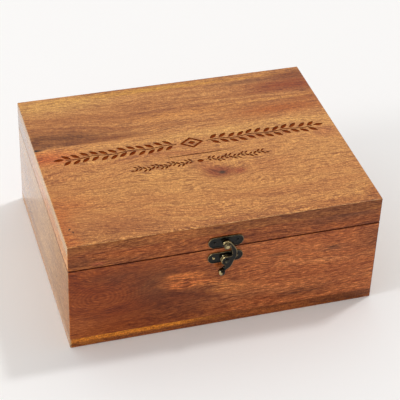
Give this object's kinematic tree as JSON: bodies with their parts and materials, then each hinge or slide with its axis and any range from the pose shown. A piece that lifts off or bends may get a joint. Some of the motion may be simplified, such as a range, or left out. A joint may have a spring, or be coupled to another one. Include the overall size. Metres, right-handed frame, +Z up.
{
  "type": "hinged keepsake box",
  "caption": "Rectangular wooden keepsake box with a hinged lid in a mitred frame, two small butt hinges behind and a swing-hook latch at the front.",
  "frame": {"origin": "middle of the underside of the box, on the surface it stands on", "axes": "+X to the right along the front (the latch side), +Y to the back (the hinge side), +Z up"},
  "size_m": [0.254, 0.2157, 0.1016],
  "materials": {
    "acacia_lid_boards": "oiled acacia, satin",
    "acacia_lid_rails": "oiled acacia, satin",
    "acacia_walls": "oiled acacia, satin",
    "acacia_bottom_boards": "oiled acacia, satin",
    "latch_bronze": "antique bronze plating, rubbed bright on the edges",
    "hinge_bronze": "antique bronze plating"
  },
  "bodies": {
    "box": {"back_wall": "acacia_walls", "bottom_board_front": "acacia_bottom_boards", "bottom_board_rear": "acacia_bottom_boards", "front_wall": "acacia_walls", "latch_nail_left": "latch_bronze", "latch_nail_right": "latch_bronze", "latch_plate": "latch_bronze", "latch_rivet": "latch_bronze", "left_hinge_box_leaf": "hinge_bronze", "left_hinge_box_screws": "hinge_bronze", "left_hinge_pin": "hinge_bronze", "left_wall": "acacia_walls", "right_hinge_box_leaf": "hinge_bronze", "right_hinge_box_screws": "hinge_bronze", "right_hinge_pin": "hinge_bronze", "right_wall": "acacia_walls"},
    "lid": {"catch_nail_left": "latch_bronze", "catch_nail_right": "latch_bronze", "catch_peg": "latch_bronze", "catch_plate": "latch_bronze", "left_hinge_lid_leaf": "hinge_bronze", "left_hinge_lid_screws": "hinge_bronze", "lid_back_rail": "acacia_lid_rails", "lid_board_front": "acacia_lid_boards", "lid_board_rear": "acacia_lid_boards", "lid_front_rail": "acacia_lid_rails", "lid_left_rail": "acacia_lid_rails", "lid_right_rail": "acacia_lid_rails", "right_hinge_lid_leaf": "hinge_bronze", "right_hinge_lid_screws": "hinge_bronze"},
    "hook": {"latch_hook": "latch_bronze"}
  },
  "joints": [
    {"name": "lid_hinge", "type": "hinge", "parent": "box", "child": "lid", "pos_m": [0, 0.1038, 0.07805], "axis": [-1, 0, 0], "range_deg": [0, 180]},
    {"name": "hook_swing", "type": "hinge", "parent": "box", "child": "hook", "pos_m": [-0.0023, -0.1051, 0.0677], "axis": [0, 1, 0], "range_deg": [0, 110]}
  ]
}
